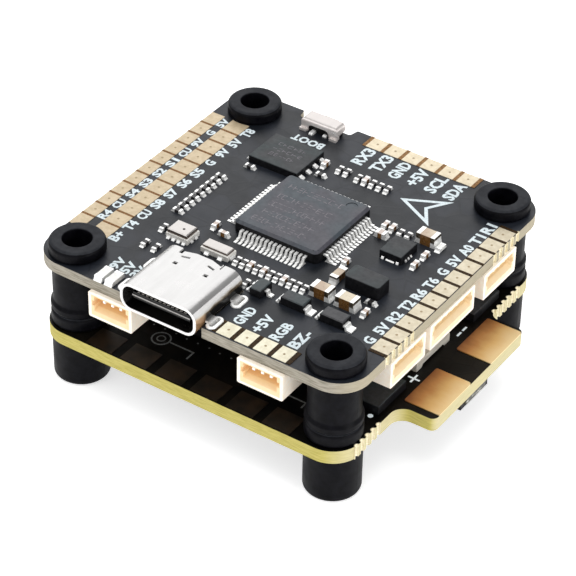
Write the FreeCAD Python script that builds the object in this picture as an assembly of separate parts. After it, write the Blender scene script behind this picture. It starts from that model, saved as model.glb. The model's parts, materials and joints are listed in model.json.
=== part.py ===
import FreeCAD, Part
import math
import os

# Flight controller stack: a flight controller board carried on soft grommets above
# a four-way motor speed controller (ESC) board.
#
# Frame: origin at the centre of the mounting pattern, on the plane that the feet
# stand on. +Z is up, -Y is the USB edge, +X is the battery tab edge. Millimetres.

V = FreeCAD.Vector
UP = V(0, 0, 1)
ORIGIN = V(0, 0, 0)

# ---- driving dimensions ----------------------------------------------------

HOLE_PITCH = 30.5           # mounting pattern, both ways
BORE_R = 1.5                # screw bore through every grommet
NECK_R = 2.0                # grommet neck and the board hole around it
FLANGE_R = 2.9              # grommet flange

ESC_BOTTOM = 5.3            # underside of the speed controller board
ESC_THICK = 1.5
ESC_FLANGE = 1.58           # flange of an ESC grommet above its board
FC_REST_GAP = 0.02          # air between the two grommets of a pair
FC_BOTTOM = 13.95           # underside of the flight controller board
FC_THICK = 1.2
FC_FLANGE = 1.35

FC_HALF_X, FC_HALF_Y, FC_CORNER = 18.8, 18.4, 3.4
ESC_LEFT, ESC_RIGHT, ESC_HALF_Y, ESC_CORNER = -18.3, 18.35, 18.5, 3.2
TAB_RIGHT, TAB_HALF_Y = 22.4, 8.55

USB_X = -2.5                # middle of the USB socket
USB_WIDE, USB_HIGH, USB_WALL, USB_ROUND = 8.94, 3.16, 0.3, 1.3
USB_FRONT, USB_REAR = -19.2, -11.5
USB_ABOVE = 2.2             # USB shell above the board's upper face

PAD_THICK = 0.05            # copper pads and solder lands
ROW_PADS = 11               # pads in each long row
LEFT_PITCH, RIGHT_PITCH = 2.26, 2.2

SOCKET_DEEP, SOCKET_HIGH, SOCKET_WALL = 4.25, 3.0, 0.7
SOCKET_PITCH = 1.0

BUTTON_TRAVEL = 0.25

ESC_TOP = ESC_BOTTOM + ESC_THICK
FC_TOP = FC_BOTTOM + FC_THICK
FC_FOOT = ESC_TOP + ESC_FLANGE + FC_REST_GAP
HOLES = [(sx * HOLE_PITCH / 2, sy * HOLE_PITCH / 2) for sy in (-1, 1) for sx in (-1, 1)]
CORNER_NAMES = ["front_left", "front_right", "back_left", "back_right"]

# ---- small parts: (x, y, axis that the part lies along) ----------------------

SMALL_CAPACITORS = [
    (0.43, -7.9, "y"), (2.01, -7.9, "y"), (4.38, -7.9, "y"),
    (7.5, 5.5, "y"), (8.35, 5.5, "y"),
    (13.4, 3.45, "y"), (13.4, 1.55, "y"), (7.62, -1.97, "y"),
    (13.6, -7.7, "y"), (-4.8, -5.1, "x"), (-6.3, -4.35, "y"), (1.65, 10.9, "y"), (-3.4, 11.0, "y"),
]
RESISTORS = [(-1.15 + 0.79 * i, -7.9, "y") for i in (0, 1, 3, 5, 6, 8, 9, 10)]
RESISTORS += [(-10.95, 3.0 - 0.93 * i, "x") for i in range(9)]
RESISTORS += [(0.75, 10.9, "y"), (2.5, 10.9, "y"), (3.4, 10.9, "y"), (4.3, 10.9, "y")]
RESISTORS += [(-1.65, 11.1, "y"), (-0.75, 11.1, "y"), (-2.75, 9.15, "x")]
RESISTORS += [(9.4, 5.3, "y"), (10.3, 5.3, "y"), (13.15, -6.0, "x"), (1.65, -10.4, "y")]
RESISTORS += [(-9.55, 6.2, "x"), (-10.3, -10.75, "y"), (-8.95, -10.75, "y")]
RESISTORS += [(-10.35, -7.6, "y")]
LARGE_CAPACITORS = [(8.63, -7.6, "x"), (11.5, -7.6, "x"), (12.33, 5.75, "x")]
MEDIUM_CAPACITORS = [(8.35, -4.35, "y")]
BROAD_CAPACITORS = [(8.0, 3.9, "x")]
STATUS_LIGHTS = [(-10.4, -17.25, "y"), (-9.12, -17.25, "y")]
SIDE_LIGHTS = [(13.93, 5.5, "y")]
ESC_CAPACITORS = [(-7.5 + 5.0 * i, -4.2 + 2.8 * j, "x") for j in range(4) for i in range(4)]
UNDERSIDE_CAPACITORS = [(sx * (6.6 + 1.15 * i), sy * 9.4, "y")
                        for sx in (-1, 1) for sy in (-1, 1) for i in range(5)]
UNDERSIDE_CAPACITORS += [(sx * (1.9 + 1.3 * i), sy * 3.1, "y")
                         for sx in (-1, 1) for sy in (-1, 1) for i in range(3)]
UNDERSIDE_CAPACITORS += [(sx * 12.9, sy * (4.9 + 1.1 * i), "x")
                         for sx in (-1, 1) for sy in (-1, 1) for i in range(3)]

# length, width, height, length of each metal end
SMALL_CAP_SIZE = (1.0, 0.5, 0.5, 0.27)
RESISTOR_SIZE = (1.0, 0.5, 0.35, 0.25)
LARGE_CAP_SIZE = (2.1, 1.3, 1.2, 0.45)
MEDIUM_CAP_SIZE = (2.0, 0.85, 0.8, 0.45)
BROAD_CAP_SIZE = (1.1, 0.8, 0.6, 0.32)
LIGHT_SIZE = (1.9, 0.95, 0.5, 0.4)
SIDE_LIGHT_SIZE = (1.1, 0.6, 0.4, 0.25)
ESC_CAP_SIZE = (3.2, 1.6, 1.6, 0.6)

MCU_X, MCU_Y, MCU_BODY, MCU_HIGH = 0.5, 1.05, 10.0, 1.5
MCU_LEADS_PER_SIDE, MCU_PITCH = 16, 0.5
FLASH_X, FLASH_Y = -7.3, 9.55
GYRO_X, GYRO_Y = 10.95, 2.38
BARO_X, BARO_Y = -8.1, -7.5
CRYSTAL_X, CRYSTAL_Y = -3.56, -7.78
SWITCH_X, SWITCH_FRONT = -7.15, 15.35


# ---- helpers -------------------------------------------------------------------

def box(x0, x1, y0, y1, z0, z1):
    return Part.makeBox(x1 - x0, y1 - y0, z1 - z0, V(x0, y0, z0))


def block(x, y, size_x, size_y, z0, z1):
    """Box centred on (x, y)."""
    return box(x - size_x / 2, x + size_x / 2, y - size_y / 2, y + size_y / 2, z0, z1)


def top_edges(shape):
    high = shape.BoundBox.ZMax
    return [e for e in shape.Edges if abs(e.BoundBox.ZMin - high) < 1e-6]


def upright_edges(shape):
    return [e for e in shape.Edges if e.BoundBox.XLength + e.BoundBox.YLength < 1e-6]


def moulded(x, y, size_x, size_y, z0, z1, bevel):
    """Box with a bevel round its upper face, like a moulded package."""
    solid = block(x, y, size_x, size_y, z0, z1)
    return solid.makeChamfer(bevel, top_edges(solid))


def rounded_face(corners):
    """Flat face in the XY plane. Each corner is (x, y, radius)."""
    bends = []
    for i, (x, y, radius) in enumerate(corners):
        here = V(x, y, 0)
        back = V(corners[i - 1][0], corners[i - 1][1], 0) - here
        after = corners[(i + 1) % len(corners)]
        ahead = V(after[0], after[1], 0) - here
        back.normalize()
        ahead.normalize()
        if radius == 0:
            bends.append((here, None, here))
            continue
        half = back.getAngle(ahead) / 2
        reach = radius / math.tan(half)
        inward = back + ahead
        inward.normalize()
        middle = here + inward * (radius / math.sin(half) - radius)
        bends.append((here + back * reach, middle, here + ahead * reach))
    edges = []
    for i, (enter, middle, leave) in enumerate(bends):
        if middle is not None:
            edges.append(Part.Arc(enter, middle, leave).toShape())
        start = bends[(i + 1) % len(bends)][0]
        if leave.distanceToPoint(start) > 1e-6:
            edges.append(Part.LineSegment(leave, start).toShape())
    return Part.Face(Part.Wire(edges))


def plate(corners, z0, thick):
    face = rounded_face(corners)
    face.translate(V(0, 0, z0))
    return face.extrude(V(0, 0, thick))


def turned(corners, x, y):
    """Solid of revolution about the vertical through (x, y). Corners are (r, z, radius)."""
    face = rounded_face(corners)
    face.rotate(ORIGIN, V(1, 0, 0), 90)
    solid = face.revolve(ORIGIN, UP, 360)
    solid.translate(V(x, y, 0))
    return solid


def swept_x(points, x0, x1):
    """Prism along X from a polygon of (y, z) points."""
    wire = Part.makePolygon([V(x0, y, z) for y, z in points + points[:1]])
    return Part.Face(wire).extrude(V(x1 - x0, 0, 0))


def stadium(x, y, wide, long, z0, z1):
    """Slot-shaped prism, long way along Y."""
    r = wide / 2 - 0.001
    a, b = wide / 2, long / 2
    corners = [(x - a, y - b, r), (x + a, y - b, r), (x + a, y + b, r), (x - a, y + b, r)]
    return plate(corners, z0, z1 - z0)


def turn(shape, x, y, degrees):
    copy = shape.copy()
    copy.rotate(V(x, y, 0), UP, degrees)
    return copy


def save(name, shapes):
    shape = shapes[0] if len(shapes) == 1 else Part.makeCompound(shapes)
    shape.exportStep("parts/" + name + ".step")


# ---- grommets ------------------------------------------------------------------

def esc_grommet(x, y):
    """Long foot under the board, neck through it, flange above it."""
    top = ESC_TOP + ESC_FLANGE
    return turned([
        (BORE_R, 0, 0.15), (FLANGE_R, 0, 0.5), (FLANGE_R, ESC_BOTTOM, 0),
        (NECK_R, ESC_BOTTOM, 0), (NECK_R, ESC_TOP, 0), (FLANGE_R, ESC_TOP, 0.35),
        (FLANGE_R, top, 0.45), (BORE_R, top, 0.15)], x, y)


def fc_grommet(x, y):
    """Slim lower sleeve with a flared lip, neck through the board, flange on top."""
    sleeve_r, lip_high = 2.65, 0.75
    top = FC_TOP + FC_FLANGE
    return turned([
        (BORE_R, FC_FOOT, 0.15), (FLANGE_R, FC_FOOT, 0.3), (FLANGE_R, FC_FOOT + lip_high, 0.2),
        (sleeve_r, FC_FOOT + lip_high + 0.35, 0.3), (sleeve_r, FC_BOTTOM, 0),
        (NECK_R, FC_BOTTOM, 0), (NECK_R, FC_TOP, 0), (FLANGE_R, FC_TOP, 0.3),
        (FLANGE_R, top, 0.45), (BORE_R, top, 0.15)], x, y)


# ---- boards --------------------------------------------------------------------

FC_EDGE_HOLES = [-11.9 + 1.1 * i for i in range(5)] + [7.9 + 1.1 * i for i in range(5)]
ESC_EDGE_HOLES = [-15.9 + 0.95 * i for i in range(5)] + [9.6 + 0.95 * i for i in range(6)]
EDGE_HOLE_R, PLATING = 0.33, 0.07

USB_LEG_Y = (-17.15, -13.1)
USB_LEG_OUT = 0.75           # middle of a leg's slot from the side of the shell
USB_SLOT = (0.7, 1.7)


def usb_leg_places():
    side = USB_WIDE / 2 + USB_LEG_OUT
    return [(USB_X + s * side, y) for y in USB_LEG_Y for s in (-1, 1)]


def fc_board():
    x, y, r = FC_HALF_X, FC_HALF_Y, FC_CORNER
    notch_y = 17.25
    board = plate([
        (-x, -y, r), (x, -y, r), (x, y, r), (-4.2, y, 0.2), (-4.45, notch_y, 0.3),
        (-10.75, notch_y, 0.3), (-11.0, y, 0.2), (-x, y, r)], FC_BOTTOM, FC_THICK)
    cuts = [Part.makeCylinder(NECK_R, FC_THICK, V(hx, hy, FC_BOTTOM)) for hx, hy in HOLES]
    cuts += [Part.makeCylinder(EDGE_HOLE_R, FC_THICK, V(x, hy, FC_BOTTOM)) for hy in FC_EDGE_HOLES]
    half = USB_WIDE / 2 + 0.1
    cuts.append(box(USB_X - half, USB_X + half, -y - 1, USB_REAR + 0.15, FC_BOTTOM, FC_TOP))
    cuts += [stadium(lx, ly, *USB_SLOT, FC_BOTTOM, FC_TOP) for lx, ly in usb_leg_places()]
    return board.cut(Part.makeCompound(cuts))


def esc_board():
    y, r = ESC_HALF_Y, ESC_CORNER
    board = plate([
        (ESC_LEFT, -y, r), (ESC_RIGHT, -y, r), (ESC_RIGHT, -TAB_HALF_Y, 1.5),
        (TAB_RIGHT, -TAB_HALF_Y, 0.7), (TAB_RIGHT, TAB_HALF_Y, 0.7),
        (ESC_RIGHT, TAB_HALF_Y, 1.0), (ESC_RIGHT, y, r), (ESC_LEFT, y, r)], ESC_BOTTOM, ESC_THICK)
    cuts = [Part.makeCylinder(NECK_R, ESC_THICK, V(hx, hy, ESC_BOTTOM)) for hx, hy in HOLES]
    cuts += [Part.makeCylinder(EDGE_HOLE_R, ESC_THICK, V(ESC_RIGHT, hy, ESC_BOTTOM))
             for hy in ESC_EDGE_HOLES]
    return board.cut(Part.makeCompound(cuts))


def edge_plating(edge_x, places, z0, thick):
    """Half tubes of copper that line the holes cut in two by a board's right edge."""
    solids = []
    for y in places:
        tube = Part.makeCylinder(EDGE_HOLE_R, thick, V(edge_x, y, z0))
        tube = tube.cut(Part.makeCylinder(EDGE_HOLE_R - PLATING, thick, V(edge_x, y, z0)))
        solids.append(tube.common(box(edge_x - 1, edge_x, y - 1, y + 1, z0, z0 + thick)))
    return solids


# ---- copper pads ------------------------------------------------------------------

def pad(x, y, size_x, size_y, z):
    return block(x, y, size_x, size_y, z, z + PAD_THICK)


def left_pads():
    """Two columns. The outer pads under the corner grommets are cut short by the flange."""
    solids = []
    for i in range(ROW_PADS):
        y = 11.43 - LEFT_PITCH * i
        solids.append(pad(-17.95, y, 1.6, 2.0, FC_TOP))
        solids.append(pad(-15.05, y, 2.1, 2.0, FC_TOP))
    flanges = [Part.makeCylinder(FLANGE_R + 0.05, 2, V(hx, hy, FC_TOP - 0.5)) for hx, hy in HOLES]
    return [s.cut(Part.makeCompound(flanges)) for s in solids]


def right_pads():
    return [pad(17.75, 11.15 - RIGHT_PITCH * i, 1.9, 1.8, FC_TOP) for i in range(ROW_PADS)]


def back_pads():
    return [pad(-1.1 + 2.205 * i, 17.4, 1.78, 1.85, FC_TOP) for i in range(6)]


def front_pads():
    return [pad(4.38 + 2.12 * i, -17.2, 1.6, 2.0, FC_TOP) for i in range(4)]


def motor_pads():
    return [pad(-10.6 + 4.24 * i, s * 16.95, 3.2, 2.8, ESC_TOP) for s in (-1, 1) for i in range(6)]


def battery_pads():
    solids = []
    for y0, y1 in ((-7.7, -1.7), (2.0, 8.1)):
        face = [(18.4, y0, 0.2), (TAB_RIGHT, y0, 0.1), (TAB_RIGHT, y1, 0.3), (18.4, y1, 0.2)]
        solids.append(plate(face, ESC_TOP, PAD_THICK * 2))
    return solids


# ---- two-ended chips ------------------------------------------------------------------

def two_ended(parts, size, base):
    """Bodies, metal ends and solder fillets of chips that lie on the face z = base."""
    length, width, high, end = size
    bodies, ends, solder = [], [], []
    for x, y, axis in parts:
        angle = 90 if axis == "y" else 0
        inner = length / 2 - end
        body = block(x, y, 2 * inner, width - 0.02, base, base + high - 0.02)
        bodies.append(turn(body, x, y, angle))
        for side in (0, 180):
            cap = box(x + inner, x + length / 2, y - width / 2, y + width / 2, base, base + high)
            reach = length / 2 + 0.22
            slope = Part.makePolygon([
                V(x + length / 2, y - width / 2, base), V(x + reach, y - width / 2, base),
                V(x + length / 2 + 0.06, y - width / 2, base + high * 0.35),
                V(x + length / 2, y - width / 2, base + high * 0.7),
                V(x + length / 2, y - width / 2, base)])
            fillet = Part.Face(slope).extrude(V(0, width, 0))
            ends.append(turn(cap, x, y, angle + side))
            solder.append(turn(fillet, x, y, angle + side))
    return bodies, ends, solder


# ---- packages ------------------------------------------------------------------------

def mcu():
    """Square package with sixteen gull-wing leads on each side, and its solder lands."""
    half = MCU_BODY / 2
    low = FC_TOP + 0.1
    body = block(MCU_X, MCU_Y, MCU_BODY, MCU_BODY, low, FC_TOP + MCU_HIGH)
    body = body.makeFillet(0.6, upright_edges(body))
    body = body.makeChamfer(0.28, top_edges(body))
    dimple = Part.makeCylinder(0.62, 0.05, V(MCU_X + half - 1.6, MCU_Y + half - 1.3,
                                            FC_TOP + MCU_HIGH - 0.05))
    body = body.cut(dimple)
    outline = [(5.0, 0.62), (5.38, 0.62), (5.62, PAD_THICK), (6.05, PAD_THICK),
               (6.05, 0.2), (5.72, 0.2), (5.48, 0.77), (5.0, 0.77)]
    leads, lands = [], []
    for side in range(4):
        for i in range(MCU_LEADS_PER_SIDE):
            x = MCU_X + (i - (MCU_LEADS_PER_SIDE - 1) / 2) * MCU_PITCH
            points = [(MCU_Y + r, FC_TOP + z) for r, z in outline]
            leads.append(turn(swept_x(points, x - 0.135, x + 0.135), MCU_X, MCU_Y, 90 * side))
            land = box(x - 0.15, x + 0.15, MCU_Y + 5.25, MCU_Y + 6.5, FC_TOP, FC_TOP + PAD_THICK)
            lands.append(turn(land, MCU_X, MCU_Y, 90 * side))
    return body, leads, lands


def side_tabs(x, y, half, count, pitch, wide, out, high, sides):
    """Rows of solder tabs against the named sides of a package. Sides: 0 front, 90 right..."""
    tabs = []
    for side in sides:
        reach = half[0] if side % 180 else half[1]
        for i in range(count):
            along = x + (i - (count - 1) / 2) * pitch
            face = y - reach
            points = [(face, FC_TOP), (face, FC_TOP + high), (face - out * 0.35, FC_TOP + high * 0.8),
                      (face - out, FC_TOP + high * 0.25), (face - out, FC_TOP)]
            tabs.append(turn(swept_x(points, along - wide / 2, along + wide / 2), x, y, side))
    return tabs


def flash():
    body = moulded(FLASH_X, FLASH_Y, 6.0, 5.0, FC_TOP, FC_TOP + 0.85, 0.06)
    tabs = side_tabs(FLASH_X, FLASH_Y, (3.0, 2.5), 4, 1.27, 0.5, 0.5, 0.3, (90, 270))
    return body, tabs


def gyro():
    body = moulded(GYRO_X, GYRO_Y, 2.5, 3.0, FC_TOP, FC_TOP + 0.95, 0.05)
    half = (1.25, 1.5)
    tabs = side_tabs(GYRO_X, GYRO_Y, half, 2, 1.7, 0.28, 0.14, 0.26, (0, 180))
    tabs += side_tabs(GYRO_X, GYRO_Y, half, 1, 1.0, 0.95, 0.12, 0.13, (0, 180))
    tabs += side_tabs(GYRO_X, GYRO_Y - 0.2, half, 3, 0.48, 0.24, 0.14, 0.24, (90, 270))
    return body, tabs


def barometer():
    """Ceramic base, metal lid with a vent hole, tabs front and right."""
    base_top = FC_TOP + 0.55
    base = block(BARO_X, BARO_Y, 2.6, 2.1, FC_TOP, base_top)
    lid = moulded(BARO_X - 0.05, BARO_Y + 0.03, 2.35, 1.85, base_top, FC_TOP + 1.0, 0.1)
    vent = Part.makeCylinder(0.14, 0.4, V(BARO_X + 0.25, BARO_Y - 0.1, FC_TOP + 0.75))
    tabs = side_tabs(BARO_X, BARO_Y, (1.3, 1.05), 4, 0.62, 0.36, 0.28, 0.22, (0, 180))
    tabs += side_tabs(BARO_X, BARO_Y, (1.3, 1.05), 2, 0.75, 0.36, 0.2, 0.22, (90, 270))
    return base, lid.cut(vent), tabs


def crystal():
    """Metal can seam-welded to a ceramic base."""
    base_top = FC_TOP + 0.55
    base = block(CRYSTAL_X, CRYSTAL_Y, 3.25, 1.5, FC_TOP, base_top)
    lid = moulded(CRYSTAL_X - 0.03, CRYSTAL_Y + 0.06, 3.0, 1.18, base_top, FC_TOP + 0.85, 0.08)
    tabs = side_tabs(CRYSTAL_X, CRYSTAL_Y, (1.625, 0.75), 2, 1.6, 0.5, 0.3, 0.3, (0, 180))
    tabs += side_tabs(CRYSTAL_X, CRYSTAL_Y, (1.625, 0.75), 1, 1.0, 0.8, 0.2, 0.3, (90, 270))
    return base, lid, tabs


def power_inductor():
    body = block(11.5, -4.2, 4.0, 2.2, FC_TOP, FC_TOP + 1.5)
    body = body.makeFillet(0.35, upright_edges(body))
    return body.makeFillet(0.12, top_edges(body))


def leaded(x, y, size, leads, bevel):
    """Small moulded body with gull-wing leads. Leads: (offset from centre, width, reach, side)."""
    long_x, long_y, high = size
    body = moulded(x, y, long_x, long_y, FC_TOP + 0.08, FC_TOP + high, bevel)
    wires = []
    for offset, wide, foot, side in leads:
        face = y - (long_x if side % 180 else long_y) / 2
        points = [(face, FC_TOP + 0.42), (face - 0.16, FC_TOP + 0.42), (face - 0.24, FC_TOP),
                  (face - foot, FC_TOP), (face - foot, FC_TOP + 0.16), (face - 0.4, FC_TOP + 0.2),
                  (face - 0.3, FC_TOP + 0.56), (face, FC_TOP + 0.56)]
        wire = swept_x(points, x + offset - wide / 2, x + offset + wide / 2)
        wires.append(turn(wire, x, y, side))
    return body, wires


def leaded_parts():
    regulator, leads = leaded(3.45, -10.55, (1.25, 2.0, 0.95),
                              [(-0.6, 0.4, 0.7, 270), (0.45, 0.4, 0.7, 270), (0, 0.5, 0.8, 90)], 0.08)
    diodes = []
    for x in (7.4, 11.9):
        body, wires = leaded(x, -10.35, (2.6, 1.45, 1.0),
                             [(-0.2, 0.95, 0.95, 90), (0.2, 0.95, 0.6, 270)], 0.1)
        diodes.append(body)
        leads += wires
    return regulator, diodes, leads


# ---- USB socket ---------------------------------------------------------------------

def usb():
    """Formed shell, plastic tongue with its rear block, its steel mid-plate, contacts, leg solder."""
    top = FC_TOP + USB_ABOVE
    middle = top - USB_HIGH / 2

    def oval(wide, high, r, y0, y1):
        a, b = wide / 2, high / 2
        face = rounded_face([(-a, -b, r), (a, -b, r), (a, b, r), (-a, b, r)])
        face.rotate(ORIGIN, V(1, 0, 0), 90)
        face.translate(V(USB_X, y0, middle))
        return face.extrude(V(0, y1 - y0, 0))

    inner = (USB_WIDE - 2 * USB_WALL, USB_HIGH - 2 * USB_WALL, USB_ROUND - USB_WALL)
    shell = oval(USB_WIDE, USB_HIGH, USB_ROUND, USB_FRONT, USB_REAR)
    shell = shell.cut(oval(*inner, USB_FRONT, USB_REAR))
    cuts = []
    for s, slit in ((-1, 0.42), (1, 0.16)):
        cuts.append(block(USB_X + s * 2.35, USB_REAR - 0.4, slit, 0.82, top - 1, top + 1))
        slot = block(0, 0, 0.95, 0.26, top - 1, top + 1)
        slot.rotate(ORIGIN, V(0, 0, 1), -15 * s)
        slot.translate(V(USB_X + s * 1.5, USB_REAR - 1.08, 0))
        cuts.append(slot)
        cuts.append(block(USB_X + s * 1.8, USB_REAR - 2.4, 0.5, 0.42, top - 1, top + 1))
        slant = [V(USB_X + s * 0.9, USB_REAR, top - 1), V(USB_X + s * 2.2, USB_REAR - 0.38, top - 1),
                 V(USB_X + s * 2.2, USB_REAR, top - 1), V(USB_X + s * 0.9, USB_REAR, top - 1)]
        cuts.append(Part.Face(Part.makePolygon(slant)).extrude(V(0, 0, 2)))
    shell = shell.cut(Part.makeCompound(cuts))
    legs, solder = [], []
    for x, y in usb_leg_places():
        s = 1 if x > USB_X else -1
        side = USB_X + s * USB_WIDE / 2
        inner_x, outer_x = x - s * 0.26, x - s * 0.02
        arm = [(side - s * 0.15, FC_TOP + 0.15), (side - s * 0.15, FC_TOP + 0.42),
               (outer_x, FC_TOP + 0.42), (outer_x, FC_BOTTOM),
               (inner_x, FC_BOTTOM), (inner_x, FC_TOP + 0.15)]
        wire = Part.makePolygon([V(px, y - 0.55, pz) for px, pz in arm + arm[:1]])
        leg = Part.Face(wire).extrude(V(0, 1.1, 0))
        legs.append(leg)
        rim = stadium(x, y, USB_SLOT[0] + 0.46, USB_SLOT[1] + 0.46, FC_TOP, FC_TOP + 0.16)
        rim = rim.makeFillet(0.1, top_edges(rim))
        lining = stadium(x, y, *USB_SLOT, FC_BOTTOM, FC_TOP)
        hole = stadium(x, y, USB_SLOT[0] - 0.16, USB_SLOT[1] - 0.16, FC_BOTTOM, FC_TOP + 1)
        solder.append(rim.fuse(lining).cut(hole).cut(leg))
    shell = shell.fuse([leg.cut(oval(*inner, USB_FRONT, USB_REAR)) for leg in legs])

    tongue_half, tip, rear = 3.35, USB_FRONT + 0.6, USB_FRONT + 6.0
    tongue = box(USB_X - tongue_half, USB_X + tongue_half, tip, rear, middle - 0.35, middle + 0.35)
    tongue = tongue.fuse(oval(*inner, rear, USB_REAR))
    midplate = box(USB_X - tongue_half - 0.06, USB_X + tongue_half + 0.06, tip - 0.06, rear,
                   middle - 0.08, middle + 0.08)
    tongue = tongue.cut(midplate)
    contacts = []
    for i in range(12):
        x = USB_X + (i - 5.5) * 0.5
        for z0, z1 in ((middle + 0.35, middle + 0.41), (middle - 0.41, middle - 0.35)):
            contacts.append(box(x - 0.14, x + 0.14, tip + 0.1, rear, z0, z1))
        contacts.append(box(x - 0.14, x + 0.14, USB_REAR + 0.2, USB_REAR + 0.9,
                            FC_TOP, FC_TOP + 0.12))
    return shell, tongue, midplate, contacts, solder


# ---- wire-to-board sockets ---------------------------------------------------------------

def socket(pins, x, face_y, base, side, over):
    """Side-entry socket. It opens towards -Y at face_y, or towards the side it is turned to.

    base is the board face that it is soldered to. over is True where it stands on the
    board's upper face, and False where it hangs from the underside.
    """
    wide = pins * SOCKET_PITCH + 2.25
    low, high = -SOCKET_HIGH, 0
    housing = box(-wide / 2, wide / 2, 0, SOCKET_DEEP, low, high)
    housing = housing.makeChamfer(0.12, [e for e in housing.Edges if e.BoundBox.YLength > 1])
    inner = wide / 2 - SOCKET_WALL
    cavity = swept_x([(0, -0.42), (3.2, -0.42), (3.2, -1.85), (0.55, -1.85), (0, -2.15)],
                     -inner, inner)
    notches = [box(s * inner - 0.25, s * inner + 0.25, -0.1, 1.1, -1.55, -0.95) for s in (-1, 1)]
    outline = [(0.4, -1.12), (4.62, -1.12), (4.62, -0.16), (5.15, -0.16),
               (5.15, 0), (4.42, 0), (4.42, -0.84), (0.4, -0.84)]
    contacts = []
    for i in range(pins):
        at = (i - (pins - 1) / 2) * SOCKET_PITCH
        contacts.append(swept_x(outline, at - 0.15, at + 0.15))
    for s in (-1, 1):
        x0, x1 = sorted((s * wide / 2, s * (wide / 2 + 0.16)))
        contacts.append(box(x0, x1, 2.2, 3.9, -1.0, 0))
    housing = housing.cut(Part.makeCompound([cavity] + notches + contacts[:pins]))
    solids = [housing] + contacts
    for solid in solids:
        if over:
            solid.rotate(ORIGIN, V(0, 1, 0), 180)
        solid.translate(V(0, face_y, base))
        solid.rotate(ORIGIN, UP, side)
        solid.translate(V(x, 0, 0) if side % 180 == 0 else V(0, x, 0))
    return solids[0], solids[1:]


SOCKETS = [
    # name, pins, place along the edge, distance of the face from the centre, turn
    ("socket_front_left", 3, -8.6, -18.8, 0),
    ("socket_front_right", 3, 9.1, -18.8, 0),
    ("socket_right_front", 4, -8.3, -18.95, 90),
    ("socket_right_middle", 6, -0.2, -18.95, 90),
    ("socket_right_back", 4, 8.65, -19.05, 90),
    ("socket_harness", 8, 0.0, -18.6, 270),
]


# ---- boot switch --------------------------------------------------------------------------

def boot_switch():
    """Side-push switch: plastic base, folded metal cover, and a plunger that faces +Y."""
    x, y, z = SWITCH_X, SWITCH_FRONT, FC_TOP
    half, deep, high, sheet = 2.2, 1.65, 1.45, 0.15

    def folded(inset, radius):
        """Block with its front and side folds rounded, drawn in by inset."""
        shape = box(x - half + inset, x + half - inset, y + inset, y + deep, z, z + high - inset)
        folds = [e for e in top_edges(shape) if e.BoundBox.YMin < y + deep - 1e-6]
        return shape.makeFillet(radius, folds)

    base_half = half - sheet - 0.1
    base = box(x - base_half, x + base_half, y + sheet + 0.1, y + deep, z, z + high - sheet - 0.12)
    plunger_x, plunger_half, low, tall = x + 0.2, 0.8, z + 0.35, 0.7
    tip = y + deep + 0.65
    head = box(plunger_x - plunger_half, plunger_x + plunger_half, y + 0.95, tip, low, low + tall)
    collar = box(plunger_x - 1.1, plunger_x + 1.1, y + 0.75, y + 1.15, low, low + tall)
    plunger = head.fuse(collar)
    run = 0.02
    way = box(plunger_x - plunger_half - run, plunger_x + plunger_half + run, y + 0.75,
              y + deep + 2, low - run, low + tall + run)
    room = box(plunger_x - 1.1 - run, plunger_x + 1.1 + run, y + 0.75 - BUTTON_TRAVEL - 0.05,
               y + 1.15 + run, low - run, low + tall + run)
    base = base.cut(way.fuse(room))
    plunger = plunger.makeFillet(0.1, [e for e in plunger.Edges if abs(e.BoundBox.YMin - tip) < 1e-6])

    cover = folded(0, 0.4).cut(folded(sheet, 0.25))
    arch = rounded_face([(-1.35, -1, 0), (1.25, -1, 0), (1.25, 0.85, 0.5), (-1.35, 0.85, 0.5)])
    arch.rotate(ORIGIN, V(1, 0, 0), 90)
    arch.translate(V(x, y + 1.0, z))
    cover = cover.cut(arch.extrude(V(0, -2, 0)))
    side_window = box(x - half - 1, x + half + 1, y + 0.6, y + deep + 1, z - 1, z + 0.45)
    cover = cover.cut(side_window)
    for s in (-1, 1):
        toe0, toe1 = sorted((x + s * 1.45, x + s * (half + 0.1)))
        cover = cover.fuse(box(toe0, toe1, y - 0.25, y + sheet, z, z + 0.28))
        ear0, ear1 = sorted((x + s * (half - 0.5), x + s * half))
        cover = cover.fuse(box(ear0, ear1, y + deep, y + deep + sheet, z + 0.55, z + high - 0.3))
    terminals = []
    for off, reach in ((-0.7, 0.55), (0.75, 0.1)):
        tab = [(y - reach, z), (y - reach, z + 0.14), (y - reach + 0.2, z + 0.24),
               (y + 0.25, z + 0.24), (y + 0.25, z)]
        terminals.append(swept_x(tab, x + off - 0.22, x + off + 0.22))
    return base, cover, plunger, terminals


# ---- speed controller parts ------------------------------------------------------------------

# x, y and turn of each dual transistor, one for every motor phase
MOSFETS = [(14.6, -8.5, 90), (14.6, 9.25, 90), (-14.1, -9.25, 90), (-14.1, 9.25, 90)]
MOSFETS += [(-8.1 + 5.4 * i, s * 8.2, 0) for s in (-1, 1) for i in range(4)]


def esc_mosfets():
    return [turn(moulded(x, y, 5.0, 5.9, ESC_TOP, ESC_TOP + 1.0, 0.06), x, y, a)
            for x, y, a in MOSFETS]


def esc_controllers():
    """Four microcontrollers and four gate drivers on the underside."""
    solids = []
    for sx in (-1, 1):
        for sy in (-1, 1):
            solids.append(block(sx * 9.5, sy * 6.0, 5.0, 5.0, ESC_BOTTOM - 0.85, ESC_BOTTOM))
            solids.append(block(sx * 3.2, sy * 6.0, 4.0, 4.0, ESC_BOTTOM - 0.8, ESC_BOTTOM))
    return solids


def hang(shape):
    """Turns a part that stands on z = 0 upside down, on to the underside of the board."""
    copy = shape.mirror(ORIGIN, UP)
    copy.translate(V(0, 0, ESC_BOTTOM))
    return copy


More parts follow.
